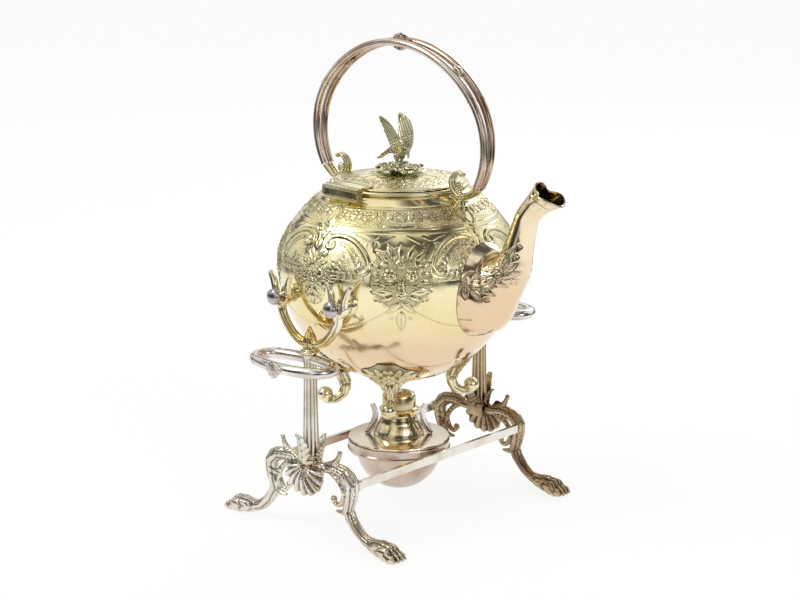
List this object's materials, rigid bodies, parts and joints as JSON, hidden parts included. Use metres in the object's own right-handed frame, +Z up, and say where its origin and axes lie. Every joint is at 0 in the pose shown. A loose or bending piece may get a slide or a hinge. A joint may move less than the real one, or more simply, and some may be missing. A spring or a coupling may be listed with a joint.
{
  "type": "spirit kettle on stand",
  "caption": "Globular tea kettle with a fixed double-rod handle, hinged lid with bird finial and curved spout, hung by pins in the cradles of a paw-footed stand over a spirit lamp.",
  "frame": {"origin": "floor level under the upright axis of the kettle and the lamp", "axes": "+X towards the spout, +Y along the stretcher bars to the far end (the lid hinge is on the -Y side), +Z up"},
  "size_m": [0.2558, 0.2824, 0.3809],
  "materials": {
    "kettle_plate": "worn silver plate over brass, warm tone, engraved and bright",
    "handle_plate": "worn silver plate, brownish, bright",
    "stand_plate": "cast, worn silver plate with dark hollows",
    "gilt_plate": "bare brass tone, bright",
    "ring_plate": "silver plate, bright",
    "lamp_plate": "silver plate with a rosy tone, bright",
    "pin_plate": "bluish silver plate, bright",
    "wick_braid": "woven cotton"
  },
  "bodies": {
    "stand": {"leg_near_left": "stand_plate", "leg_near_right": "stand_plate", "leg_far_left": "stand_plate", "leg_far_right": "stand_plate", "plinth_near": "stand_plate", "plinth_far": "stand_plate", "shell_near": "stand_plate", "shell_far": "stand_plate", "column_near": "stand_plate", "column_far": "stand_plate", "leaves_near": "stand_plate", "leaves_far": "stand_plate", "cradle_near": "gilt_plate", "cradle_far": "gilt_plate", "ring_handle_near": "ring_plate", "ring_handle_far": "ring_plate", "ring_shell_near": "ring_plate", "ring_shell_far": "ring_plate", "bar_front": "stand_plate", "bar_rear": "stand_plate", "lamp_ring": "lamp_plate"},
    "pivot_pins": {"pin_front_near": "pin_plate", "pin_front_far": "pin_plate"},
    "kettle": {"kettle_bowl": "kettle_plate", "kettle_shoulder": "kettle_plate", "neck_bead": "kettle_plate", "spout": "kettle_plate", "foot_front_near": "kettle_plate", "foot_front_far": "kettle_plate", "foot_rear_near": "kettle_plate", "foot_rear_far": "kettle_plate", "pin_rear_near": "pin_plate", "pin_rear_far": "pin_plate", "handle_rod_near": "handle_plate", "handle_rod_far": "handle_plate", "handle_beads": "handle_plate", "handle_scroll_front": "kettle_plate", "handle_scroll_rear": "kettle_plate", "handle_post_front": "kettle_plate", "handle_post_rear": "kettle_plate", "hinge_block": "kettle_plate", "hinge_pin": "pin_plate"},
    "lid_group": {"lid": "kettle_plate", "lid_leaf": "kettle_plate", "finial_rock": "kettle_plate", "eagle": "kettle_plate", "finial_nut": "kettle_plate"},
    "lamp": {"lamp_bowl": "lamp_plate", "lamp_cover": "lamp_plate", "burner": "gilt_plate", "wick_tube": "gilt_plate", "wick": "wick_braid", "strap_left": "pin_plate", "strap_right": "pin_plate"},
    "regulator_ring": {"regulator": "gilt_plate"},
    "snuffer_cap": {"snuffer": "lamp_plate"}
  },
  "joints": [
    {"name": "kettle_lift", "type": "slide", "parent": "stand", "child": "pivot_pins", "axis": [0, 0, 1], "range_m": [0, 0.12]},
    {"name": "kettle_tilt", "type": "hinge", "parent": "pivot_pins", "child": "kettle", "pos_m": [0.03, 0, 0.186], "axis": [0, 1, 0], "range_deg": [0, 45]},
    {"name": "lid_hinge", "type": "hinge", "parent": "kettle", "child": "lid_group", "pos_m": [-0.00407, -0.05821, 0.26633], "axis": [0.9976, -0.0698, 0], "range_deg": [0, 100]},
    {"name": "lamp_lift", "type": "slide", "parent": "stand", "child": "lamp", "axis": [0, 0, 1], "range_m": [0, 0.006]},
    {"name": "cap_lift", "type": "slide", "parent": "lamp", "child": "snuffer_cap", "axis": [0, 0, 1], "range_m": [0, 0.005]},
    {"name": "regulator_turn", "type": "hinge", "parent": "lamp", "child": "regulator_ring", "pos_m": [0, 0, 0.075], "axis": [0, 0, 1], "range_deg": [-60, 20]}
  ]
}
